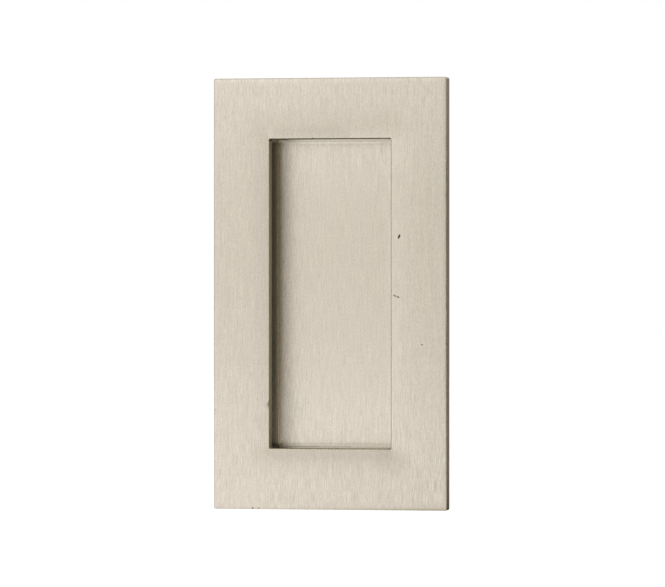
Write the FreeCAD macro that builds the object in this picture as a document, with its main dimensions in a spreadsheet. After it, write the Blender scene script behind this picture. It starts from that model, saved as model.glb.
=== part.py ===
import FreeCAD, Part
import math
import os

import Sketcher

# Rectangular recessed pull for a sliding pocket door: a thick rectangular plate with a
# finger opening, and a shallow sheet tray closing that opening from behind.
# Millimetres. X runs across the plate, Z up it, and the face looks towards -Y. The plane
# y = 0 is the plate's back, which lies on the door, so the tray is on the +Y side, in the door.

doc = FreeCAD.newDocument("recessed_pull")

# The driving dimensions. Everything else is an expression of these.
sheet = doc.addObject("Spreadsheet::Sheet", "Dimensions")
DIMENSIONS = {
    "plate_width": 58.0,
    "plate_height": 105.0,
    "plate_thickness": 3.5,
    "plate_corner": 0.5,  # the outline's four corners
    "front_round": 0.3,  # eased front edge
    "back_break": 0.15,  # deburred back edge
    "opening_width": 30.3,
    "opening_height": 75.4,
    "opening_corner": 0.3,
    "opening_round": 0.15,  # eased front edge of the opening
    "floor_depth": 10.2,  # from the plate's face to the tray's floor
    "sheet_thickness": 1.0,
    "tray_setback": 0.2,  # tray's walls stand back from the opening by this much
    "tray_corner": 0.8,  # inside radius where two walls meet
    "tray_bend": 0.3,  # inside radius where a wall meets the floor
    "seat_depth": 0.5,  # tray's rim sits this deep in the plate's back
    "seat_clearance": 0.1,  # all round the rim, filled with solder on the real one
}
for row, (alias, value) in enumerate(DIMENSIONS.items(), start=1):
    sheet.set(f"A{row}", alias)
    sheet.set(f"B{row}", str(value))
    sheet.setAlias(f"B{row}", alias)
doc.recompute()

D = "Dimensions."
TRAY_INSIDE_WIDTH = f"{D}opening_width + 2 * {D}tray_setback"
TRAY_INSIDE_HEIGHT = f"{D}opening_height + 2 * {D}tray_setback"
TRAY_WIDTH = f"{TRAY_INSIDE_WIDTH} + 2 * {D}sheet_thickness"
TRAY_HEIGHT = f"{TRAY_INSIDE_HEIGHT} + 2 * {D}sheet_thickness"
TRAY_OUTER_CORNER = f"{D}tray_corner + {D}sheet_thickness"
TRAY_OUTER_BEND = f"{D}tray_bend + {D}sheet_thickness"
# rim to the tray's back: the floor's depth behind the plate, the sheet, and the seated part
TRAY_LENGTH = (
    f"{D}floor_depth - {D}plate_thickness + {D}sheet_thickness + {D}seat_depth"
)


def origin_plane(body, role):
    """The body's own origin plane with this role, such as XZ_Plane."""
    return next(f for f in body.Origin.OriginFeatures if f.Role == role)


def rounded_rectangle(body, name, width, height, corner):
    """A rectangle with round corners, centred on the body's XZ plane. All three are expressions."""
    sketch = body.newObject("Sketcher::SketchObject", name)
    sketch.AttachmentSupport = [(origin_plane(body, "XZ_Plane"), "")]
    sketch.MapMode = "FlatFace"
    x, y, r = 10.0, 20.0, 1.0
    v = FreeCAD.Vector
    sides = [
        ((-x + r, y), (x - r, y)),
        ((x, y - r), (x, -y + r)),
        ((x - r, -y), (-x + r, -y)),
        ((-x, -y + r), (-x, y - r)),
    ]
    for (x0, y0), (x1, y1) in sides:
        sketch.addGeometry(Part.LineSegment(v(x0, y0, 0), v(x1, y1, 0)))
    quarter = math.pi / 2
    centres = [(x - r, y - r, 0), (x - r, -y + r, -1), (-x + r, -y + r, -2), (-x + r, y - r, -3)]
    for cx, cy, turn in centres:
        circle = Part.Circle(v(cx, cy, 0), v(0, 0, 1), r)
        start = turn * quarter
        sketch.addGeometry(Part.ArcOfCircle(circle, start, start + quarter))
    # each side runs clockwise into the arc after it, and the arc into the next side
    for n in range(4):
        sketch.addConstraint(Sketcher.Constraint("Tangent", n, 2, 4 + n, 2))
        sketch.addConstraint(Sketcher.Constraint("Tangent", 4 + n, 1, (n + 1) % 4, 1))
    for n in (0, 2):
        sketch.addConstraint(Sketcher.Constraint("Horizontal", n))
    for n in (1, 3):
        sketch.addConstraint(Sketcher.Constraint("Vertical", n))
    for n in (5, 6, 7):
        sketch.addConstraint(Sketcher.Constraint("Equal", 4, n))
    # opposite corners mirror each other through the origin
    sketch.addConstraint(Sketcher.Constraint("Symmetric", 0, 1, 2, 1, -1, 1))
    bound = {
        "width": (Sketcher.Constraint("DistanceX", 3, 1, 1, 1, 2 * x), width),
        "height": (Sketcher.Constraint("DistanceY", 2, 1, 0, 1, 2 * y), height),
        "corner": (Sketcher.Constraint("Radius", 4, r), corner),
    }
    for label, (constraint, expression) in bound.items():
        sketch.renameConstraint(sketch.addConstraint(constraint), label)
        sketch.setExpression(f"Constraints.{label}", expression)
    return sketch


def pad(body, name, sketch, length, into_door):
    """Metal from the sketch, towards the room or into the door."""
    feature = body.newObject("PartDesign::Pad", name)
    feature.Profile = sketch
    feature.setExpression("Length", length)
    feature.Reversed = into_door  # the sketches' normal is -Y, towards the room
    return feature


def pocket(body, name, sketch, length):
    """A cut from the sketch towards the room."""
    feature = body.newObject("PartDesign::Pocket", name)
    feature.Profile = sketch
    feature.setExpression("Length", length)
    feature.Reversed = True
    return feature


def edges_at(shape, y, keep):
    """Names of the edges that lie in the plane y and whose centre the function keep accepts."""
    names = []
    for n, edge in enumerate(shape.Edges, start=1):
        box = edge.BoundBox
        flat = abs(box.YMin - y) < 1e-6 and abs(box.YMax - y) < 1e-6
        if flat and keep((box.XMin + box.XMax) / 2, (box.ZMin + box.ZMax) / 2):
            names.append(f"Edge{n}")
    return names


def dress(body, kind, name, base, edges, prop, expression):
    """A fillet or chamfer on named edges of a feature."""
    feature = body.newObject(f"PartDesign::{kind}", name)
    feature.Base = (base, edges)
    feature.setExpression(prop, expression)
    return feature


def value(alias):
    return float(sheet.get(alias))


def make_plate():
    """The thick face plate: opening, seat for the tray's rim behind, eased edges."""
    body = doc.addObject("PartDesign::Body", "face_plate")
    body.Label = "face_plate"
    outline = rounded_rectangle(
        body, "plate_outline", f"{D}plate_width", f"{D}plate_height", f"{D}plate_corner"
    )
    blank = pad(body, "blank", outline, f"{D}plate_thickness", into_door=False)
    opening = rounded_rectangle(
        body, "opening_outline", f"{D}opening_width", f"{D}opening_height", f"{D}opening_corner"
    )
    doc.recompute()
    full = blank.Shape.Volume
    cut = pocket(body, "opening", opening, f"{D}plate_thickness")
    doc.recompute()
    assert cut.Shape.Volume < full, "the opening didn't cut the plate"
    seat = rounded_rectangle(
        body,
        "seat_outline",
        f"{TRAY_WIDTH} + 2 * {D}seat_clearance",
        f"{TRAY_HEIGHT} + 2 * {D}seat_clearance",
        f"{TRAY_OUTER_CORNER} + {D}seat_clearance",
    )
    rebate = pocket(body, "rim_seat", seat, f"{D}seat_depth")
    doc.recompute()
    assert rebate.Shape.Volume < cut.Shape.Volume, "the seat didn't cut the plate's back"

    front = -value("plate_thickness")
    # half way across the borders, the line between the outline's edges and the opening's
    middle_x = (value("plate_width") + value("opening_width")) / 4
    middle_z = (value("plate_height") + value("opening_height")) / 4

    def on_outline(x, z):
        return abs(x) > middle_x or abs(z) > middle_z

    def on_opening(x, z):
        return not on_outline(x, z)

    eased = dress(
        body, "Fillet", "front_edge", rebate, edges_at(rebate.Shape, front, on_outline),
        "Radius", f"{D}front_round",
    )
    doc.recompute()
    rim = dress(
        body, "Fillet", "opening_edge", eased,
        edges_at(eased.Shape, front, on_opening),
        "Radius", f"{D}opening_round",
    )
    doc.recompute()
    dress(
        body, "Chamfer", "back_edge", rim, edges_at(rim.Shape, 0.0, on_outline),
        "Size", f"{D}back_break",
    )
    doc.recompute()
    return body


def make_tray():
    """The finger tray, sheet of one thickness with bent and closed corners. Its rim is at its own y = 0."""
    body = doc.addObject("PartDesign::Body", "finger_tray")
    body.Label = "finger_tray"
    outline = rounded_rectangle(body, "tray_outline", TRAY_WIDTH, TRAY_HEIGHT, TRAY_OUTER_CORNER)
    block = pad(body, "tray_block", outline, TRAY_LENGTH, into_door=True)
    doc.recompute()
    back = block.Shape.BoundBox.YMax
    bends = dress(
        body, "Fillet", "floor_bends", block, edges_at(block.Shape, back, lambda x, z: True),
        "Radius", TRAY_OUTER_BEND,
    )
    doc.recompute()
    rim = next(
        f"Face{n}"
        for n, face in enumerate(bends.Shape.Faces, start=1)
        if abs(face.BoundBox.YMax) < 1e-6
    )
    shell = body.newObject("PartDesign::Thickness", "sheet_shell")
    shell.Base = (bends, [rim])
    shell.setExpression("Value", f"{D}sheet_thickness")
    shell.Reversed = True  # inwards, so the block's outside stays
    doc.recompute()
    assert shell.Shape.Volume < bends.Shape.Volume, "the tray isn't hollow"
    # seated: the rim goes into the plate's back by the seat's depth
    body.setExpression("Placement.Base.y", f"-{D}seat_depth")
    doc.recompute()
    return body


bodies = [make_plate(), make_tray()]

for item in doc.Objects:
    bad = {"Invalid", "Error"} & set(item.State)
    assert not bad, f"{item.Name}: {item.State}"
    shape = getattr(item, "Shape", None)
    if item.isDerivedFrom("PartDesign::Feature") or item.isDerivedFrom("PartDesign::Body"):
        assert shape is not None and not shape.isNull() and shape.isValid(), item.Name

os.makedirs("parts", exist_ok=True)
for body in bodies:
    assert len(body.Shape.Solids) == 1, body.Name
    box = body.Shape.BoundBox
    print(
        body.Label,
        f"volume {body.Shape.Volume:.3f}",
        f"box {box.XMin:.3f} {box.YMin:.3f} {box.ZMin:.3f} {box.XMax:.3f} {box.YMax:.3f} {box.ZMax:.3f}",
    )
    body.Shape.exportStep(f"parts/{body.Label}.step")
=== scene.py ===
"""Flush pocket door pull in satin nickel: a flat face plate with a rectangular finger recess.

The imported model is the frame.  Its two nodes, the face plate and the finger tray, are remade here
as profiles carried round a rounded rectangle, which gives them true rounded edges, small nicks and
clean normals, and both get a brushed metal finish.  Lengths are in millimetres until a mesh is made.
"""

import logging
import math
from dataclasses import dataclass, replace
from enum import Enum, IntEnum

import bpy
import numpy as np
from mathutils import Matrix


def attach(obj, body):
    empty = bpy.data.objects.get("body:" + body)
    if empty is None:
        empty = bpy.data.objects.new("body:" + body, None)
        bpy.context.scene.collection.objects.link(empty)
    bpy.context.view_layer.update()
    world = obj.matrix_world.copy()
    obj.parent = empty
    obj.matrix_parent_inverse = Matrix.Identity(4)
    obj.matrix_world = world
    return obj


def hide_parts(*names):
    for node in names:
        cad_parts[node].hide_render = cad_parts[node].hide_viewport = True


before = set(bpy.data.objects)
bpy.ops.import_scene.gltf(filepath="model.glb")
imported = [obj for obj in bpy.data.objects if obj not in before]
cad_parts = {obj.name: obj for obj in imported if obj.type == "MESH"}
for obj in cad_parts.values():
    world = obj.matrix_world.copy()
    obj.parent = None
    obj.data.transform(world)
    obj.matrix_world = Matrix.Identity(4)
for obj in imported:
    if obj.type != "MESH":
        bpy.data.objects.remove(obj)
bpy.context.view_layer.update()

MM = 0.001
PHOTO_WIDTH = 665
SENSOR_WIDTH = 36.0
WHITE = (1.0, 1.0, 1.0, 1.0)

SHARP = 0.02  # the smallest corner radius of a rounded rectangle
ANYWHERE = -2.0  # a distance from the middle that takes in every point
FAR = 400.0  # a depth so far off that a darkening which ends there is even

Tree = bpy.types.NodeTree
Socket = bpy.types.NodeSocket

log = logging.getLogger("door_pull")


# ---------------------------------------------------------------- colour and node helpers


def linear(code: str) -> tuple[float, float, float, float]:
    """Turns an sRGB hex colour into linear light.

    Each channel c in 0..1 becomes c / 12.92 up to 0.04045 and ((c + 0.055) / 1.055) ** 2.4 above it.

    Args:
        code: The colour as "#RRGGBB".

    Returns:
        Red, green, blue and an alpha of 1.
    """
    channels = np.array([int(code[i : i + 2], 16) for i in (1, 3, 5)]) / 255.0
    low, high = channels / 12.92, ((channels + 0.055) / 1.055) ** 2.4
    red, green, blue = np.where(channels <= 0.04045, low, high).tolist()
    return red, green, blue, 1.0


def add_node(tree: Tree, kind: str, inputs: dict | None = None, **settings: object) -> bpy.types.Node:
    """Adds one node with its settings, values and links.

    Args:
        tree: The node tree.
        kind: The node's type name.
        inputs: Socket name or number to a value, or to another node's output, which is linked.
        **settings: Properties of the node itself.

    Returns:
        The new node.
    """
    node = tree.nodes.new(kind)
    for name, value in settings.items():
        setattr(node, name, value)
    for name, value in (inputs or {}).items():
        if isinstance(value, Socket):
            tree.links.new(value, node.inputs[name])
        else:
            node.inputs[name].default_value = value
    return node


def new_material(name: str) -> tuple[bpy.types.Material, Tree]:
    """Makes an empty node material.

    Args:
        name: The material's name.

    Returns:
        The material and its cleared node tree.
    """
    material = bpy.data.materials.new(name)
    material.use_nodes = True
    material.node_tree.nodes.clear()
    return material, material.node_tree


# ---------------------------------------------------------------- finishes


@dataclass(frozen=True)
class Mark:
    """A mark of wear or painted shade: a stroke from start to end (X, Z), as wide as twice its radius."""

    start: tuple[float, float]
    end: tuple[float, float]
    radius: float
    tone: str
    strength: float

    FULL_WITHIN, GONE_BEYOND = 0.45, 1.35  # times the radius

    def mask(self, tree: Tree, place: Socket) -> Socket:
        """Draws the stroke as a mask.

        With a the start and b the way to the end, a point p is |p - a - b t| away from the stroke, where
        t = clamp((p - a) . b / b . b).  The mask falls smoothly from the strength to 0 round the radius.

        Args:
            tree: The material's nodes.
            place: Object coordinates with Y flattened to 0.

        Returns:
            The mask, from 0 to the mark's strength.
        """
        start = np.array([self.start[0], 0.0, self.start[1]]) * MM
        way = np.array([self.end[0], 0.0, self.end[1]]) * MM - start
        squared = max(float(way @ way), 1e-12)
        apart = {0: place, 1: tuple(start)}
        away = add_node(tree, "ShaderNodeVectorMath", apart, operation="SUBTRACT").outputs[0]
        onto = {0: away, 1: tuple(way / squared)}
        along = add_node(tree, "ShaderNodeVectorMath", onto, operation="DOT_PRODUCT").outputs["Value"]
        share = add_node(tree, "ShaderNodeClamp", {"Value": along}).outputs[0]
        reach = {0: tuple(way), "Scale": share}
        run = add_node(tree, "ShaderNodeVectorMath", reach, operation="SCALE").outputs[0]
        off = add_node(tree, "ShaderNodeVectorMath", {0: away, 1: run}, operation="DISTANCE").outputs["Value"]
        fade = {
            "Value": off,
            1: self.radius * self.FULL_WITHIN * MM,
            2: self.radius * self.GONE_BEYOND * MM,
            3: self.strength,
            4: 0.0,
        }
        return add_node(tree, "ShaderNodeMapRange", fade, interpolation_type="SMOOTHSTEP").outputs[0]


@dataclass(frozen=True)
class TarnishAndShade:
    """A darkening of the colour, strongest at one depth Y and gone at another: painted shade in the tray, and
    a darker cut edge on the plate.

    It lies only beyond two distances from the middle, along X and along Z, and takes the lengths of `soft`
    to come up there.  `toward` picks one side of an axis, 1 or -1, or both sides with 0.
    """

    start: float
    end: float
    share: float
    tint: str = "#FFFFFF"
    beyond: tuple[float, float] = (ANYWHERE, ANYWHERE)
    soft: tuple[float, float] = (0.7, 0.5)
    toward: tuple[int, int] = (0, 0)

    def over(self, tree: Tree, place: Socket, colour: Socket) -> Socket:
        """Darkens the colour by share ** p and draws it to the tint by p.

        The weight p falls evenly from 1 at the start to 0 at the end, so the colour's light falls as a power.

        Args:
            tree: The material's nodes.
            place: Object coordinates.
            colour: The colour so far.

        Returns:
            The darkened colour.
        """
        axes = add_node(tree, "ShaderNodeSeparateXYZ", {0: place}).outputs
        fade = {"Value": axes["Y"], 1: self.start * MM, 2: self.end * MM, 3: 1.0, 4: 0.0}
        depth_weight = add_node(tree, "ShaderNodeMapRange", fade).outputs[0]
        light = add_node(tree, "ShaderNodeMath", {0: self.share, 1: depth_weight}, operation="POWER").outputs[0]
        hue = {"Factor": depth_weight, 6: WHITE, 7: linear(self.tint)}
        darkening = add_node(tree, "ShaderNodeMix", hue, data_type="RGBA").outputs[2]
        darkening = add_node(tree, "ShaderNodeVectorMath", {0: darkening, "Scale": light}, operation="SCALE").outputs[0]
        seen = add_node(tree, "ShaderNodeVectorMath", {0: colour, 1: darkening}, operation="MULTIPLY").outputs[0]
        masks = []
        for axis, least, soft, toward in zip(("X", "Z"), self.beyond, self.soft, self.toward):
            values = {0: axes[axis], 1: float(toward)}
            kind = "MULTIPLY" if toward else "ABSOLUTE"
            away = add_node(tree, "ShaderNodeMath", values, operation=kind).outputs[0]
            rise = {"Value": away, 1: least * MM, 2: (least + soft) * MM}
            masks.append(
                add_node(tree, "ShaderNodeMapRange", rise, interpolation_type="SMOOTHSTEP").outputs[0]
            )
        both = add_node(tree, "ShaderNodeMath", {0: masks[0], 1: masks[1]}, operation="MULTIPLY").outputs[0]
        cover = {"Factor": both, 6: colour, 7: seen}
        return add_node(tree, "ShaderNodeMix", cover, data_type="RGBA").outputs[2]


@dataclass(frozen=True)
class SatinNickel:
    """Satin nickel plate on brass, belt-brushed along Z.

    The belt leaves fine upright scratches.  They blur a reflection sideways and keep it sharp upwards,
    so upright edges fade into each other and level ones stay crisp, and they show as faint streaks.
    """

    name: str
    tint: str = "#DFD6C9"
    roughness: float = 0.25
    anisotropy: float = 0.57
    lands: float = 0.06
    streak: float = 0.085
    bump: float = 1.0
    marks: tuple[Mark, ...] = ()
    tarnish_and_shade: tuple[TarnishAndShade, ...] = ()

    LONG_STREAK, SHORT_STREAK, LAND = (0.28, 6.0), (0.28, 0.5), (0.1, 3.0)  # width and length
    SCRATCH_DEPTH = 0.0006
    DULL = 0.6  # roughness of a mark
    LEANED_UP = (0.0, 0.02, 1.0)

    def build(self) -> bpy.types.Material:
        """Builds the material.

        Returns:
            The finished material, all in Object coordinates.
        """
        material, tree = new_material(self.name)
        place = add_node(tree, "ShaderNodeTexCoord").outputs["Object"]
        long = self._streaks(tree, place, self.LONG_STREAK, 1.0)
        short = self._streaks(tree, place, self.SHORT_STREAK, 1.0)
        both = add_node(tree, "ShaderNodeMath", {0: long, 1: short}, operation="ADD").outputs[0]
        swing = {"Value": both, 1: 0.6, 2: 1.4, 3: 1.0 - self.streak, 4: 1.0 + self.streak}
        gain = add_node(tree, "ShaderNodeMapRange", swing).outputs[0]
        tinted = {0: linear(self.tint)[:3], "Scale": gain}
        colour = add_node(tree, "ShaderNodeVectorMath", tinted, operation="SCALE").outputs[0]
        # darkening by depth: painted shade in the tray, and a darker cut edge on the plate
        for tarnish_and_shade in self.tarnish_and_shade:
            colour = tarnish_and_shade.over(tree, place, colour)

        # the belt polishes the lands between its scratches a little brighter
        land = self._streaks(tree, place, self.LAND, 0.0)
        swing = {
            "Value": land,
            1: 0.35,
            2: 0.65,
            3: self.roughness - self.lands,
            4: self.roughness + self.lands,
        }
        rough = add_node(tree, "ShaderNodeMapRange", swing).outputs[0]
        flattened = {0: place, 1: (1.0, 0.0, 1.0)}
        flat = add_node(tree, "ShaderNodeVectorMath", flattened, operation="MULTIPLY").outputs[0]
        # marks: wear, painted shade and painted reflection lines, each dulled
        for mark in self.marks:
            mask = mark.mask(tree, flat)
            stain_and_shade = {"Factor": mask, 6: colour, 7: linear(mark.tone)}
            colour = add_node(tree, "ShaderNodeMix", stain_and_shade, data_type="RGBA").outputs[2]
            rough = add_node(tree, "ShaderNodeMix", {"Factor": mask, 2: rough, 3: self.DULL}).outputs[0]

        relief = {"Height": both, "Strength": 1.0, "Distance": self.bump * self.SCRATCH_DEPTH * MM}
        normal = add_node(tree, "ShaderNodeBump", relief).outputs[0]
        # the scratches run along Z, so the blur runs across them: Z (leaned a little backward) x normal
        facing = add_node(tree, "ShaderNodeNewGeometry").outputs["Normal"]
        crossed = {0: self.LEANED_UP, 1: facing}
        across = add_node(tree, "ShaderNodeVectorMath", crossed, operation="CROSS_PRODUCT").outputs[0]
        across = add_node(tree, "ShaderNodeVectorMath", {0: across}, operation="NORMALIZE").outputs[0]
        surface = {
            "Base Color": colour,
            "Metallic": 1.0,
            "Roughness": rough,
            "Anisotropic": self.anisotropy,
            "Tangent": across,
            "Normal": normal,
        }
        metal = add_node(tree, "ShaderNodeBsdfPrincipled", surface)
        add_node(tree, "ShaderNodeOutputMaterial", {"Surface": metal.outputs[0]})
        return material

    def _streaks(self, tree: Tree, place: Socket, size: tuple[float, float], detail: float) -> Socket:
        """Makes noise drawn out along Z.

        The grit's own scratches are some 0.02 mm wide, too fine to show, so they are drawn at 0.1 mm and
        more.

        Args:
            tree: The material's nodes.
            place: Object coordinates.
            size: Width and length of a streak in millimetres.
            detail: Octaves of finer noise on top.

        Returns:
            The noise, about 0.5 on average.
        """
        width, length = size
        scale = (1.0 / (width * MM), 1.0 / (width * MM), 1.0 / (length * MM))
        drawn = add_node(tree, "ShaderNodeMapping", {"Vector": place, "Scale": scale}).outputs[0]
        noise = {"Vector": drawn, "Scale": 1.0, "Detail": detail, "Roughness": 0.6}
        return add_node(tree, "ShaderNodeTexNoise", noise).outputs["Fac"]


# ---------------------------------------------------------------- surfaces


class Turn(Enum):
    """How a profile's ends are closed: joined to each other, or each with a flat face."""

    LOOP = "loop"
    CAPS = "caps"


@dataclass(frozen=True)
class Station:
    """One point of a profile: its rounded rectangle, its depth Y, and the finish of the band after it.

    Where it is sharp, it is a hard edge, and the bands on its two sides share no normals.
    """

    half_width: float
    half_height: float
    corner: float
    depth: float
    finish: int = 0
    sharp: bool = False


@dataclass(frozen=True)
class Walk:
    """Where a walk round a rounded rectangle stops, the same for every station of a profile.

    Each side is a tuple of fractions between 0 and 1, in walking order: top, left, bottom, right.
    """

    top: tuple[float, ...]
    left: tuple[float, ...]
    bottom: tuple[float, ...]
    right: tuple[float, ...]
    corner_steps: int = 8

    def stops(self) -> tuple[np.ndarray, np.ndarray]:
        """Works out the walk for a unit rectangle.

        A stop is (W - r) u + r o, with W the half sizes, r the corner radius, u where it stands between the
        corner centres (-1..1) and o the outward direction.  On a corner u is fixed and o turns by 90 degrees;
        on a side o is fixed and u runs from corner to corner.

        Returns:
            The arrays u and o, each of stops by (X, Z), anticlockwise from the front, from the upper right
            corner.
        """
        between, outward = [], []
        signs = np.array([(1, 1), (-1, 1), (-1, -1), (1, -1)], float)
        for quarter, side in enumerate((self.top, self.left, self.bottom, self.right)):
            angle = math.pi / 2 * (quarter + np.linspace(0.0, 1.0, self.corner_steps + 1))
            between.append(np.repeat(signs[quarter][None], len(angle), 0))
            outward.append(np.stack([np.cos(angle), np.sin(angle)], 1))
            share = np.array(side)[:, None]
            between.append(signs[quarter] * (1 - share) + signs[(quarter + 1) % 4] * share)
            outward.append(np.repeat(outward[-1][-1][None], len(side), 0))
        return np.concatenate(between), np.concatenate(outward)


@dataclass(frozen=True)
class Nick:
    """A small dent: metal pushed along `push` round `place`, fading as exp(-(distance / reach)^2)."""

    place: tuple[float, float, float]
    reach: tuple[float, float, float]
    push: tuple[float, float, float]

    def pressed(self, points: np.ndarray) -> np.ndarray:
        """Moves the points that the dent reaches, in one array operation.

        Args:
            points: Any array of points, in millimetres.

        Returns:
            The moved points.
        """
        away = (points - np.array(self.place)) / np.array(self.reach)
        return points + np.exp(-(away**2).sum(-1, keepdims=True)) * np.array(self.push)


def arc(
    half_width: float,
    half_height: float,
    corner: float,
    depth: float,
    radius: float,
    turn: tuple[float, float],
    steps: int,
    finish: int,
) -> list[Station]:
    """Rounds an edge of a profile.

    With c an angle of the turn, a station lies radius cos(c) outside the given rectangle and radius sin(c)
    behind the given depth.

    Args:
        half_width: Half width of the rectangle on which the arc's centre runs.
        half_height: Half height of that rectangle.
        corner: Corner radius of that rectangle.
        depth: Depth Y of the arc's centre.
        radius: Radius of the arc.
        turn: First and last angle in degrees; 0 is outward and 90 is backward.
        steps: Number of bands.
        finish: Finish of the bands.

    Returns:
        The stations, both ends included.
    """
    angles = np.radians(np.linspace(*turn, steps + 1))
    offsets = zip((radius * np.cos(angles)).tolist(), (radius * np.sin(angles)).tolist())
    return [
        Station(half_width + out, half_height + out, max(corner + out, SHARP), depth + back, finish)
        for out, back in offsets
    ]


def stops_along(
    length: float, step: float, near: tuple[float, ...] = (), fine: float = 0.1, reach: float = 1.2
) -> tuple[float, ...]:
    """Spreads stops along a straight side, closer together at its ends and round given places.

    Args:
        length: Length of the side in millimetres.
        step: Widest spacing.
        near: Places, measured along the walk from the side's start, that need fine stops.
        fine: Spacing round those places.
        reach: How far to each side of a place the fine stops go.

    Returns:
        Fractions of the side's length, in order, without its ends.
    """
    ends = np.array([0.15, 0.4, 0.9, 1.8, 3.5])
    parts = [np.arange(step, length - step / 2, step), ends, length - ends]
    parts += [place + np.arange(-reach, reach + fine / 2, fine) for place in near]
    every = np.sort(np.concatenate(parts))
    every = every[(every > 0.1) & (every < length - 0.1)]
    kept = every[np.concatenate([[True], np.diff(every) > fine * 0.45])]
    return tuple((kept / length).tolist())


def smooth_normals(points: np.ndarray, quads: np.ndarray, groups: np.ndarray) -> np.ndarray:
    """Works out a normal for each corner of each face.

    It is the sum of the cross products of the faces round that point that lie in the same smooth group, so
    wide flats keep their own normal and roundings turn smoothly.

    Args:
        points: The points, n by 3.
        quads: The faces as point numbers, bands by stops by 4.
        groups: Each band's smooth group.

    Returns:
        The normals, bands by stops by 4 by 3.
    """
    corners = points[quads]
    crossed = np.cross(corners[..., 2, :] - corners[..., 0, :], corners[..., 3, :] - corners[..., 1, :])
    normals = np.zeros((*quads.shape, 3))
    for group in np.unique(groups):
        mine = groups == group
        total = np.zeros_like(points)
        np.add.at(total, quads[mine].reshape(-1), np.repeat(crossed[mine].reshape(-1, 3), 4, 0))
        total /= np.maximum(np.linalg.norm(total, axis=1, keepdims=True), 1e-20)
        normals[mine] = total[quads[mine]]
    return normals


def new_piece(
    name: str,
    points: np.ndarray,
    loops: np.ndarray,
    totals: np.ndarray,
    finish: np.ndarray,
    normals: np.ndarray,
) -> bpy.types.Object:
    """Makes a mesh object at the origin from plain arrays.

    Args:
        name: The object's name.
        points: The points in millimetres, n by 3.
        loops: The faces' point numbers, one face after the other.
        totals: Each face's number of corners.
        finish: Each face's finish.
        normals: The normal at each entry of the loops.

    Returns:
        The new object.
    """
    starts = np.concatenate([[0], np.cumsum(totals)[:-1]])
    mesh = bpy.data.meshes.new(name)
    mesh.vertices.add(len(points))
    mesh.vertices.foreach_set("co", (points * MM).reshape(-1))
    mesh.loops.add(len(loops))
    mesh.loops.foreach_set("vertex_index", loops.astype(np.int32))
    mesh.polygons.add(len(starts))
    mesh.polygons.foreach_set("loop_start", starts.astype(np.int32))
    mesh.polygons.foreach_set("loop_total", totals.astype(np.int32))
    mesh.polygons.foreach_set("material_index", finish.astype(np.int32))
    mesh.polygons.foreach_set("use_smooth", np.ones(len(starts), bool))
    mesh.update(calc_edges=True)
    mesh.validate()
    mesh.normals_split_custom_set(normals)
    piece = bpy.data.objects.new(name, mesh)
    bpy.context.scene.collection.objects.link(piece)
    return piece


def carried_profile(
    name: str, stations: list[Station], walk: Walk, turn: Turn, nicks: tuple[Nick, ...] = ()
) -> bpy.types.Object:
    """Carries a profile round a rounded rectangle and makes it a mesh.

    The surface is P(k, i) = (W_k - r_k) u_i + r_k o_i in X and Z, with Y = depth_k, for station k and stop i.

    Args:
        name: The object's name.
        stations: The profile, running backwards-outwards-forwards so that the faces point outwards.
        walk: The stops round the rectangle.
        turn: How the profile's ends are closed.
        nicks: Dents pressed into the surface.

    Returns:
        The new object, at the origin.
    """
    between, outward = walk.stops()
    size = np.array([(s.half_width, s.half_height) for s in stations])[:, None]
    corner = np.array([s.corner for s in stations])[:, None, None]
    flat = (size - corner) * between[None] + corner * outward[None]
    depth = np.repeat(np.array([s.depth for s in stations])[:, None], len(between), 1)
    points = np.stack([flat[..., 0], depth, flat[..., 1]], -1)
    for nick in nicks:
        points = nick.pressed(points)
    rows, stops = points.shape[:2]
    points = points.reshape(-1, 3)

    # faces of the bands: along the walk, then on to the next station
    bands = rows if turn is Turn.LOOP else rows - 1
    k, i = np.meshgrid(np.arange(bands), np.arange(stops), indexing="ij")
    k2, i2 = (k + 1) % rows, (i + 1) % stops
    quads = np.stack([k * stops + i, k * stops + i2, k2 * stops + i2, k2 * stops + i], -1)

    # a sharp station starts a new smooth group, and on a loop the last group runs on into the first
    groups = np.cumsum([s.sharp for s in stations[:bands]])
    if turn is Turn.LOOP and not stations[0].sharp:
        groups[groups == groups[-1]] = 0
    normals = smooth_normals(points, quads, groups)

    loops, totals = quads.reshape(-1), np.full(bands * stops, 4)
    loop_normals = normals.reshape(-1, 3)
    finish = np.repeat(np.array([int(s.finish) for s in stations[:bands]]), stops)
    if turn is Turn.CAPS:
        loops = np.concatenate([loops, np.arange(stops)[::-1], (rows - 1) * stops + np.arange(stops)])
        totals = np.concatenate([totals, [stops, stops]])
        loop_normals = np.concatenate([loop_normals, normals[0, ::-1, 0], normals[-1, :, 3]])
        finish = np.concatenate([finish, [int(stations[0].finish), int(stations[-2].finish)]])
    return new_piece(name, points, loops, totals, finish, loop_normals)


# ---------------------------------------------------------------- the two pieces


class PlateFinish(IntEnum):
    """The plate's finishes, in the order of its material slots."""

    FACE = 0
    EDGE = 1
    CUT = 2
    BACK = 3


class TrayFinish(IntEnum):
    """The tray's finishes, in the order of its material slots."""

    FLOOR = 0
    WALL = 1
    OUTSIDE = 2


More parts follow.
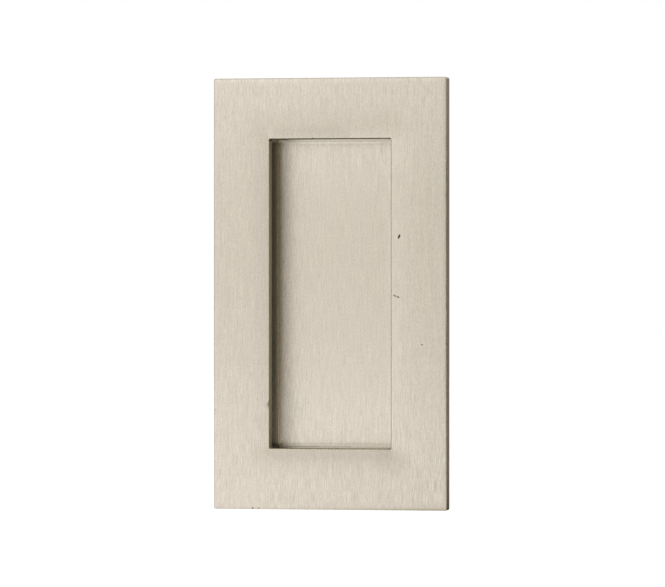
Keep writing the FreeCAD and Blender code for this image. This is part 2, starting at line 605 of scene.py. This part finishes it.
@dataclass
class FacePlate:
    """The flat plate that lies on the door: 3.5 mm brass with a rectangular opening, brushed and plated."""

    width: float = 58.0
    height: float = 105.0
    thickness: float = 3.5
    corner: float = 0.5
    front_round: float = 0.15
    ease_width: float = 1.6
    ease_drop: float = 0.035
    border_inset: float = 2.2
    back_break: float = 0.15
    opening_width: float = 30.3
    opening_height: float = 75.4
    opening_corner: float = 0.3
    opening_round: float = 0.15
    sink_width: float = 11.0
    sink_drop: float = 0.2
    seat_width: float = 32.9
    seat_height: float = 78.0
    seat_corner: float = 1.9
    seat_depth: float = 0.5

    # where the profile has stations: distances from an edge, and depths that keep the nicks near the front
    EASE_STATIONS = (0.5, 0.7, 0.95, 1.25)
    SINK_STATIONS = (9.3, 7.8, 6.5, 5.2, 4.1, 3.2, 2.4, 1.7, 1.1, 0.6, 0.25)
    SIDE_STATIONS = (-1.2, -2.0, -2.5, -2.8, -3.05)
    CUT_STATIONS = (-2.8, -2.4, -2.0, -1.5, -1.0)

    def nicks(self) -> tuple[Nick, ...]:
        """The dents that the plate's edges show.

        Returns:
            The dents.
        """
        return (
            Nick((-15.15, -3.5, -26.75), (0.5, 0.9, 0.75), (-0.16, 0.05, 0.0)),
            Nick((-4.29, -3.5, 37.7), (0.16, 0.4, 0.4), (0.0, 0.03, 0.12)),
            Nick((-19.25, -3.5, -52.5), (0.22, 0.4, 0.4), (0.0, 0.05, 0.08)),
            Nick((-17.69, -3.5, -52.5), (0.16, 0.4, 0.4), (0.0, 0.05, 0.07)),
            Nick((-29.0, -3.5, -28.19), (0.4, 0.4, 0.3), (0.07, 0.05, 0.0)),
        )

    def marks(self) -> tuple[Mark, ...]:
        """The wear that the plate's face shows, and painted shade along its opening's two ends.

        Returns:
            The marks, in the order in which they cover each other.
        """
        return (
            # a dark tick, a scratch of three strokes, and a dot, all on the right border
            Mark((17.12, 13.62), (17.33, 14.16), 0.235, "#30271F", 0.97),
            Mark((15.92, -0.38), (16.28, -0.54), 0.21, "#6A6152", 0.6),
            Mark((16.28, -0.54), (17.1, -0.83), 0.12, "#7A705F", 0.3),
            Mark((16.82, -0.80), (17.12, -0.84), 0.21, "#6A6152", 0.65),
            Mark((22.85, -12.33), (22.93, -12.33), 0.2, "#857A6B", 0.7),
            # dirt sits in the edges' dents
            Mark((-15.26, -26.35), (-15.26, -27.15), 0.2, "#4A4238", 0.6),
            Mark((-4.33, 37.88), (-4.25, 37.88), 0.15, "#4A4238", 0.7),
            Mark((-19.29, -52.32), (-19.21, -52.32), 0.2, "#3F372D", 0.75),
            Mark((-17.73, -52.32), (-17.65, -52.32), 0.16, "#3F372D", 0.6),
            Mark((-28.88, -28.23), (-28.88, -28.15), 0.16, "#4A4238", 0.7),
            # painted shade: faint dark bands along the opening's two ends, above and below it
            Mark((-12.5, 38.4), (2.5, 38.4), 2.4, "#8A8072", 0.10),
            Mark((-13.0, -38.5), (13.0, -38.5), 2.2, "#8A8072", 0.06),
            Mark((14.0, -40.0), (17.0, -40.5), 3.2, "#8A8072", 0.06),
        )

    def cut_darkening(self) -> tuple[TarnishAndShade, ...]:
        """Darkening on the opening's cut edge: one that is darkest at the back and fades towards the front,
        then more on its top, less on its right and least on its left side.

        Returns:
            The films.
        """
        return (
            TarnishAndShade(-0.6, -3.2, 0.8),
            TarnishAndShade(0.0, -FAR, 0.24, "#FFFAF0", beyond=(ANYWHERE, 36.9), toward=(0, 1)),
            TarnishAndShade(0.0, -FAR, 0.4, "#FFFAF0", beyond=(14.6, ANYWHERE), toward=(1, 0)),
            TarnishAndShade(0.0, -FAR, 0.86, beyond=(14.6, ANYWHERE), toward=(-1, 0)),
        )

    def walk(self) -> Walk:
        """Stops round the plate, with finer ones at the nicks.

        Returns:
            The walk.
        """
        across, up = self.width - 2 * self.corner, self.height - 2 * self.corner
        open_up = (self.opening_height - 2 * self.opening_corner) / up
        open_across = (self.opening_width - 2 * self.opening_corner) / across
        return Walk(
            top=stops_along(across, 3.5, near=(across / 2 + 4.29 / open_across,)),
            left=stops_along(up, 4.0, near=(up / 2 + 28.19, up / 2 + 26.75 / open_up), reach=2.2),
            bottom=stops_along(across, 3.5, near=(across / 2 - 19.25, across / 2 - 17.69)),
            right=stops_along(up, 4.0),
        )

    def eased(self, inset: float) -> float:
        """Depth of the face near its outer edge, drop (1 - inset / width)^3 behind the flat."""
        share = (self.ease_width - inset) / self.ease_width
        return -self.thickness + self.ease_drop * share**3

    def sunk(self, distance: float) -> float:
        """Depth of the face near its opening, drop (1 - distance / width)^3.5 behind the flat."""
        return -self.thickness + self.sink_drop * (1 - distance / self.sink_width) ** 3.5

    def profile(self) -> list[Station]:
        """The section: from the back's edge forward over the side and face, then back through the opening.

        Returns:
            The stations, which close into a loop.
        """
        face, edge, cut, back = PlateFinish
        w, h, r, t = self.width / 2, self.height / 2, self.corner, self.thickness
        ow, oh, orad = self.opening_width / 2, self.opening_height / 2, self.opening_corner
        sw, sh, srad = self.seat_width / 2, self.seat_height / 2, self.seat_corner
        b, f, g = self.back_break, self.front_round, self.opening_round
        front = arc(w - f, h - f, r - f, f + self.ease_drop - t, f, (0, -80), 8, face)
        mouth = arc(ow + g, oh + g, orad + g, g + self.sink_drop - t, g, (-90, -180), 6, cut)
        easing = [
            Station(w - d, h - d, SHARP, self.eased(d), face)
            for d in (f + 0.08, *self.EASE_STATIONS, self.ease_width)
        ]
        # the belt rounds the face over towards the opening, which dims it above and below
        sinking = [
            Station(ow + g + d, oh + g + d, orad + g + d, self.sunk(d), face)
            for d in (self.sink_width, *self.SINK_STATIONS)
        ]
        return [
            Station(w - b, h - b, r - b, 0.0, edge, True),
            Station(w, h, r, -b, edge, True),
            *(Station(w, h, r, depth, edge) for depth in self.SIDE_STATIONS),
            *front,
            *easing,
            Station(w - self.border_inset, h - self.border_inset, SHARP, -t, face),
            *sinking,
            *mouth,
            *(Station(ow, oh, orad, depth, cut) for depth in self.CUT_STATIONS),
            Station(ow, oh, orad, -self.seat_depth, back, True),
            Station(sw, sh, srad, -self.seat_depth, back, True),
            Station(sw, sh, srad, 0.0, back, True),
        ]

    def build(self) -> bpy.types.Object:
        """Builds the plate's mesh."""
        return carried_profile("face_plate_brushed", self.profile(), self.walk(), Turn.LOOP, self.nicks())

    def dress(self, piece: bpy.types.Object) -> None:
        """Gives the plate its finishes and ties it to the frame.

        Args:
            piece: The plate.
        """
        finishes = (
            SatinNickel("satin_nickel_brushed_face", marks=self.marks()),
            # the sides are brushed by hand, with less grain, and look a shade darker and greyer
            SatinNickel(
                "satin_nickel_brushed_edge",
                tint="#C3B3AA",
                roughness=0.26,
                lands=0.015,
                streak=0.03,
                bump=0.3,
            ),
            # the cut shows sawn brass through thin plate, so it is dull in every direction
            SatinNickel(
                "darkened_brass_cut_edge",
                tint="#E0D5BD",
                roughness=0.6,
                anisotropy=0.0,
                tarnish_and_shade=self.cut_darkening(),
            ),
            # nobody sees the back, which is plated as it came from the saw
            SatinNickel(
                "satin_nickel_plain_back", tint="#CFC6B6", roughness=0.42, anisotropy=0.3, streak=0.04
            ),
        )
        for finish in finishes:
            piece.data.materials.append(finish.build())
        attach(piece, "root")
        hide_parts("face_plate")


@dataclass
class FingerTray:
    """The pressed sheet tray behind the opening: 1 mm brass with bent corners, plated like the plate."""

    inside_width: float = 30.7
    inside_height: float = 75.8
    inside_corner: float = 0.8
    inside_bend: float = 0.3
    inside_foot: float = 0.15
    dish_drop: float = 0.185
    dish_width: float = 4.0
    dish_corner: float = 3.8
    cap_inset: float = 6.0
    sheet: float = 1.0
    rim: float = -0.5
    floor: float = 6.7

    # where the profile has stations, as distances from the wall's foot and from the wall
    DISH_STATIONS = (0.0, 0.12, 0.25, 0.4, 0.55, 0.75, 1.0, 1.3, 1.6, 2.0, 2.4, 2.8, 3.4, 4.0)
    FLAT_STATIONS = (5.0, 6.5, 8.0, 10.0, 12.5, 15.2)

    def nicks(self) -> tuple[Nick, ...]:
        """The press's mark: the floor falls away a little at its two ends.

        Returns:
            The two wide, shallow dents.
        """
        return (
            Nick((0.0, 6.7, -42.0), (60.0, 0.3, 14.0), (0.0, 0.2, 0.0)),
            Nick((0.0, 6.7, 42.0), (60.0, 0.3, 14.0), (0.0, 0.2, 0.0)),
        )

    def end_shade_and_reflection(self) -> tuple[Mark, ...]:
        """Painted shade across the floor's two ends, by the end walls, and thin dark lines there that paint
        the floor's reflection of the joint.

        Returns:
            The marks.
        """
        return (
            Mark((-15.3, 37.9), (15.3, 37.9), 1.3, "#B5AB9B", 0.10),
            Mark((-15.3, -37.9), (15.3, -37.9), 1.3, "#B5AB9B", 0.08),
            Mark((-15.3, -37.2), (15.3, -37.2), 0.6, "#A89C8C", 0.1),
            Mark((-15.3, 37.25), (15.3, 37.25), 0.13, "#7A7062", 0.18),
            Mark((-15.3, -37.42), (-5.0, -37.42), 0.13, "#6E6455", 0.3),
            Mark((-5.0, -37.42), (3.0, -37.42), 0.12, "#7A7062", 0.13),
        )

    def floor_painted_shade(self) -> tuple[TarnishAndShade, ...]:
        """Painted shade on the floor: broad along its two sides, and narrow at the walls' foot.

        Returns:
            The films.
        """
        return (
            TarnishAndShade(0.0, -FAR, 0.72, "#FFFAEC", beyond=(13.5, ANYWHERE), soft=(1.3, 0.5)),
            TarnishAndShade(0.0, -FAR, 0.87, "#FFFAEC", beyond=(14.8, ANYWHERE), soft=(0.3, 0.5)),
        )

    def wall_painted_shade(self) -> tuple[TarnishAndShade, ...]:
        """Painted shade on the walls.

        Returns:
            The films.
        """
        return (
            # painted shade on the side walls, darkest towards the front, and more so in their lower half
            TarnishAndShade(1.0, 6.4, 0.1, "#FFEFCE", beyond=(14.6, ANYWHERE)),
            TarnishAndShade(0.8, 5.5, 0.34, "#FFF4DC", beyond=(14.6, 5.0), soft=(0.7, 9.0), toward=(0, -1)),
            # painted shade in the lower and upper corners
            TarnishAndShade(0.0, FAR, 0.15, "#FFFAE8", beyond=(11.8, 36.2), soft=(2.2, 1.4), toward=(0, -1)),
            TarnishAndShade(0.0, FAR, 0.45, "#FFFAE8", beyond=(11.8, 36.2), soft=(2.2, 1.4), toward=(0, 1)),
            # painted shade at the joint with the plate, fainter along the bottom
            TarnishAndShade(-0.5, 1.2, 0.3, beyond=(ANYWHERE, -37.5), toward=(0, 1)),
            TarnishAndShade(-0.5, 1.2, 0.7, beyond=(ANYWHERE, 37.0), toward=(0, -1)),
        )

    def walk(self) -> Walk:
        """Stops round the tray.

        Returns:
            The walk.
        """
        across = self.inside_width - 2 * self.inside_corner
        up = self.inside_height - 2 * self.inside_corner
        side, level = stops_along(up, 2.0), stops_along(across, 3.0)
        return Walk(top=level, left=side, bottom=level, right=side)

    def dished(self, distance: float) -> float:
        """Depth of the floor near its walls, drop (1 - distance / width)^2.5 in front of the flat."""
        return self.floor - self.dish_drop * (1 - distance / self.dish_width) ** 2.5

    def profile(self) -> list[Station]:
        """The section: from the middle of the back over the outside and the rim, and down to the floor.

        Returns:
            The stations, whose two ends get flat faces.
        """
        floor, wall, outside = TrayFinish
        w, h, r, s = self.inside_width / 2, self.inside_height / 2, self.inside_corner, self.sheet
        b, f, cap = self.inside_bend, self.inside_foot, self.cap_inset
        outer = arc(w - b, h - b, r - b, self.floor - b, b + s, (90, 0), 8, outside)
        # pressed sheet keeps a soft hollow round its floor, and the die leaves the inside bend tight
        bend_depth = self.floor - f - self.dish_drop
        inner = arc(w - f, h - f, r - f, bend_depth, f, (0, 84), 8, wall)
        inner[-1] = replace(inner[-1], finish=floor)
        dish = [
            Station(w - f - d, h - f - 0.35 * d, r - f + 0.8 * d, self.dished(d), floor)
            for d in self.DISH_STATIONS
        ]
        flat = [
            Station(w - d, h - d, min(self.dish_corner, w - d - SHARP), self.floor, floor)
            for d in self.FLAT_STATIONS
        ]
        return [
            Station(w - cap, h - cap, SHARP, self.floor + s, outside),
            *outer,
            Station(w + s, h + s, r + s, self.rim, wall, True),
            Station(w, h, r, self.rim, wall, True),
            Station(w, h, r, self.rim + 1.0, wall),
            Station(w, h, r, bend_depth - 1.0, wall),
            *inner,
            *dish,
            *flat,
        ]

    def build(self) -> bpy.types.Object:
        """Builds the tray's mesh."""
        return carried_profile("finger_tray_brushed", self.profile(), self.walk(), Turn.CAPS, self.nicks())

    def dress(self, piece: bpy.types.Object) -> None:
        """Gives the tray its finishes and ties it to the frame.

        Args:
            piece: The tray.
        """
        finishes = (
            SatinNickel(
                "satin_nickel_brushed_floor",
                tint="#E1D8CB",
                lands=0.03,
                streak=0.1,
                # painted shade and painted reflection lines at the floor's ends
                marks=self.end_shade_and_reflection(),
                # painted shade along the floor's sides
                tarnish_and_shade=self.floor_painted_shade(),
            ),
            # the walls carry painted shade
            SatinNickel("satin_nickel_pressed_wall", roughness=0.28, lands=0.03, tarnish_and_shade=self.wall_painted_shade()),
            SatinNickel(
                "satin_nickel_pressed_outside", tint="#CFC6B6", roughness=0.42, anisotropy=0.3, streak=0.04
            ),
        )
        for finish in finishes:
            piece.data.materials.append(finish.build())
        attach(piece, "root")
        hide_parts("finger_tray")


# ---------------------------------------------------------------- studio


@dataclass(frozen=True)
class Viewpoint:
    """The camera, in millimetres and degrees: a long lens a little to the right of the plate's middle."""

    place: tuple[float, float, float] = (287.95, -1272.85, 0.30)
    turn: float = 12.7512
    tip: float = -0.0103
    focal_pixels: float = 5355.21

    def build(self) -> bpy.types.Object:
        """Makes the camera and sets it as the scene's.

        Returns:
            The camera.
        """
        lens = bpy.data.cameras.new("viewpoint")
        lens.sensor_width = SENSOR_WIDTH
        lens.lens = self.focal_pixels * SENSOR_WIDTH / PHOTO_WIDTH
        lens.clip_start, lens.clip_end = 0.05, 50.0
        camera = bpy.data.objects.new("viewpoint", lens)
        bpy.context.scene.collection.objects.link(camera)
        turn = Matrix.Rotation(math.radians(self.turn), 4, "Z")
        tip = Matrix.Rotation(math.radians(90 + self.tip), 4, "X")
        camera.matrix_world = Matrix.Translation([v * MM for v in self.place]) @ turn @ tip
        bpy.context.scene.camera = camera
        return camera


@dataclass(frozen=True)
class Card:
    """A curved grey card round the object, out of the camera's sight, that the metal mirrors.

    The ranges are degrees: azimuth 0 is in front of the plate and 90 on its right; elevation is above the
    level.
    """

    name: str
    azimuth: tuple[float, float]
    elevation: tuple[float, float]
    radius: float


@dataclass
class Studio:
    """White room with a pale floor, one soft lamp, and grey cards that give the metal its darker sides."""

    floor_level: float = -85.0
    floor_reach: float = 4.0
    card_grid: tuple[int, int] = (89, 171)
    low_card_grid: tuple[int, int] = (91, 91)
    low_card_reach: float = 0.9
    low_card_rise: float = 5.0
    cards: tuple[Card, ...] = (
        Card("card_right", (6.0, 172.0), (-5.0, 80.0), 0.9),
        Card("card_left", (-172.0, -60.0), (-5.0, 80.0), 0.9),
        Card("card_front", (-60.0, 6.0), (-5.0, 80.0), 0.9),
    )

    def tone(self, azimuth: np.ndarray, elevation: np.ndarray) -> np.ndarray:
        """Works out how bright the cards are in each direction.

        The tone is the product of three curves.  One runs to the right: bright up to azimuth -1, black from
        1.5 to 18, dim up to 90 and a grey beyond, and there the level curve lifts what is dark, more the
        higher it is.  One runs to the left: brightest at -20, and dim past -60.  One runs upwards: a dark
        band at 1.8 degrees, and bright at 7.

        Args:
            azimuth: Degrees to the right of the plate's front.
            elevation: Degrees above the level.

        Returns:
            The tone, 1 being the white of the room.
        """
        level = np.interp(elevation, (-6.0, 0.0, 4.0, 14.0), (0.02, 0.05, 0.07, 0.35))
        right = np.interp(
            azimuth,
            (-9.0, -6.0, -3.0, -1.0, 1.5, 18.0, 35.0, 75.0, 90.0, 105.0, 130.0, 145.0),
            (1.0, 1.05, 1.2, 1.2, 0.0, 0.0, 0.26, 0.26, 0.26, 0.5, 0.5, 0.18),
        )
        right = right + np.clip(1 - right, 0, 1) * level
        left = np.interp(
            azimuth,
            (-160.0, -145.0, -110.0, -80.0, -45.0, -20.0, -14.0, -11.0, -6.0),
            (0.2, 0.5, 0.5, 0.1, 0.5, 1.27, 1.17, 0.97, 0.90),
        )
        above = np.interp(
            elevation,
            (-5.0, -4.0, -2.0, 0.0, 1.8, 4.0, 5.5, 7.0, 12.0, 25.0, 60.0),
            (1.27, 0.90, 0.81, 0.83, 0.665, 0.80, 0.99, 1.15, 1.05, 0.8, 0.7),
        )
        return right * left * above

    def build_card(self, card: Card) -> bpy.types.Object:
        """Builds one card as part of a sphere, P(a, e) = R (sin a cos e, -cos a cos e, sin e).

        Args:
            card: Its name, ranges and radius.

        Returns:
            The card.
        """
        columns, rows = self.card_grid
        a, e = np.meshgrid(
            np.linspace(*card.azimuth, columns), np.linspace(*card.elevation, rows), indexing="ij"
        )
        ra, re = np.radians(a), np.radians(e)
        points = card.radius * np.stack([np.sin(ra) * np.cos(re), -np.cos(ra) * np.cos(re), np.sin(re)], -1)
        return self._make_card(card.name, points, self.tone(a, e))

    def build_card_below(self) -> bpy.types.Object:
        """Builds the level card just above the floor, P(x, y) = (x, y, floor + rise).

        It is bright far in front and darker towards the object, to its right and behind it.

        Returns:
            The card.
        """
        columns, rows = self.low_card_grid
        span = (-self.low_card_reach, self.low_card_reach)
        x, y = np.meshgrid(np.linspace(*span, columns), np.linspace(*span, rows), indexing="ij")
        level = np.full_like(x, (self.floor_level + self.low_card_rise) * MM)
        tones = np.interp(y, (-0.9, -0.6, -0.3, -0.05, 0.05, 0.15), (1.4, 1.2, 0.9, 0.65, 0.3, 0.1))
        # the line of sight that the plate mirrors runs at 0.2263 across for 1 forward
        aside = np.interp(x - 0.2263 * y, (-0.03, 0.0, 0.03), (0.3, 0.2, -0.4))
        near = np.interp(y, (-0.45, -0.25), (0.0, 1.0))
        return self._make_card("card_below", np.stack([x, y, level], -1), tones * (1 + aside * near))

    def _make_card(self, name: str, points: np.ndarray, tones: np.ndarray) -> bpy.types.Object:
        """Makes a card that glows in its own tones, browner where it is dark, and that only reflections see.

        Args:
            name: The card's name.
            points: Its grid of points in metres, columns by rows by 3.
            tones: The tone at each point.

        Returns:
            The card.
        """
        columns, rows = tones.shape
        i, j = np.meshgrid(np.arange(columns - 1), np.arange(rows - 1), indexing="ij")
        corner = i * rows + j
        quads = np.stack([corner, corner + 1, corner + rows + 1, corner + rows], -1).reshape(-1, 4)
        mesh = bpy.data.meshes.new(name)
        mesh.from_pydata(points.reshape(-1, 3), [], quads)
        tone = mesh.attributes.new("tone", "FLOAT", "POINT")
        tone.data.foreach_set("value", tones.reshape(-1).astype(np.float32))
        piece = bpy.data.objects.new(name, mesh)
        bpy.context.scene.collection.objects.link(piece)
        material, tree = new_material("graded_grey_card")
        shade = add_node(tree, "ShaderNodeAttribute", attribute_name="tone").outputs["Fac"]
        warm = {"Factor": shade, 6: (1.09, 1.0, 0.72, 1.0), 7: WHITE}
        colour = add_node(tree, "ShaderNodeMix", warm, data_type="RGBA").outputs[2]
        glow = add_node(tree, "ShaderNodeEmission", {"Color": colour, "Strength": shade})
        add_node(tree, "ShaderNodeOutputMaterial", {"Surface": glow.outputs[0]})
        mesh.materials.append(material)
        piece.visible_camera = piece.visible_diffuse = piece.visible_shadow = False
        return piece

    def build_floor(self) -> bpy.types.Object:
        """Builds the pale floor, which shows white where it is lit and keeps the object's shadow.

        Returns:
            The floor.
        """
        mesh = bpy.data.meshes.new("pale_floor")
        reach, level = self.floor_reach, self.floor_level * MM
        corners = [(x * reach, y * reach, level) for x, y in ((-1, -1), (1, -1), (1, 1), (-1, 1))]
        mesh.from_pydata(corners, [], [(0, 1, 2, 3)])
        floor = bpy.data.objects.new("pale_floor", mesh)
        bpy.context.scene.collection.objects.link(floor)
        material, tree = new_material("white_paper_roll")
        paper = add_node(tree, "ShaderNodeBsdfDiffuse", {"Color": linear("#EDEDED")})
        seen = self._seen_directly(tree)
        lift = add_node(tree, "ShaderNodeMath", {0: seen, 1: 0.30}, operation="MULTIPLY").outputs[0]
        glow = add_node(tree, "ShaderNodeEmission", {"Color": WHITE, "Strength": lift})
        both = add_node(tree, "ShaderNodeAddShader", {0: paper.outputs[0], 1: glow.outputs[0]})
        add_node(tree, "ShaderNodeOutputMaterial", {"Surface": both.outputs[0]})
        mesh.materials.append(material)
        return floor

    def build_world(self) -> bpy.types.World:
        """Builds the white room: strength 1 to the camera and in reflections, less as plain fill.

        Returns:
            The world.
        """
        world = bpy.data.worlds.new("white_room")
        world.use_nodes = True
        tree = world.node_tree
        tree.nodes.clear()
        fill = add_node(tree, "ShaderNodeBackground", {"Color": WHITE, "Strength": 0.45})
        white = add_node(tree, "ShaderNodeBackground", {"Color": WHITE, "Strength": 1.0})
        choice = {0: self._seen_directly(tree), 1: fill.outputs[0], 2: white.outputs[0]}
        both = add_node(tree, "ShaderNodeMixShader", choice)
        add_node(tree, "ShaderNodeOutputWorld", {"Surface": both.outputs[0]})
        bpy.context.scene.world = world
        return world

    def build_lamp(self) -> bpy.types.Object:
        """Builds the soft lamp, high up and to the left of the camera: even light on the floor, and a shadow.

        Returns:
            The lamp.
        """
        light = bpy.data.lights.new("soft_lamp", "SUN")
        light.angle, light.energy = math.radians(30.0), 1.9
        lamp = bpy.data.objects.new("soft_lamp", light)
        bpy.context.scene.collection.objects.link(lamp)
        turn = Matrix.Rotation(math.radians(-35.0), 4, "Z") @ Matrix.Rotation(math.radians(40.0), 4, "X")
        lamp.matrix_world = turn @ Matrix.Translation((0.0, 0.0, 1.3))
        lamp.visible_glossy = False
        return lamp

    def _seen_directly(self, tree: Tree) -> Socket:
        """Adds up the camera, glossy and transmission rays, clamped to 1.

        Args:
            tree: The nodes it goes into.

        Returns:
            1 for such rays, else 0.
        """
        path = add_node(tree, "ShaderNodeLightPath").outputs
        two = {0: path["Is Camera Ray"], 1: path["Is Glossy Ray"]}
        part = add_node(tree, "ShaderNodeMath", two, operation="ADD").outputs[0]
        three = {0: part, 1: path["Is Transmission Ray"]}
        return add_node(tree, "ShaderNodeMath", three, operation="ADD", use_clamp=True).outputs[0]

    def build(self) -> None:
        """Builds the room, its lamp and its cards."""
        self.build_world()
        self.build_floor()
        self.build_lamp()
        self.build_card_below()
        for card in self.cards:
            self.build_card(card)


def main() -> None:
    """Builds and dresses the two pieces, then the camera and the studio."""
    logging.basicConfig(level=logging.INFO, format="%(message)s")
    for part in (FacePlate(), FingerTray()):
        piece = part.build()
        part.dress(piece)
        log.info("%s: %d faces, %d finishes", piece.name, len(piece.data.polygons), len(piece.data.materials))
    Viewpoint().build()
    Studio().build()
    bpy.context.scene.view_settings.view_transform = "Standard"
    log.info("sizes written")


if __name__ == "__main__":
    main()
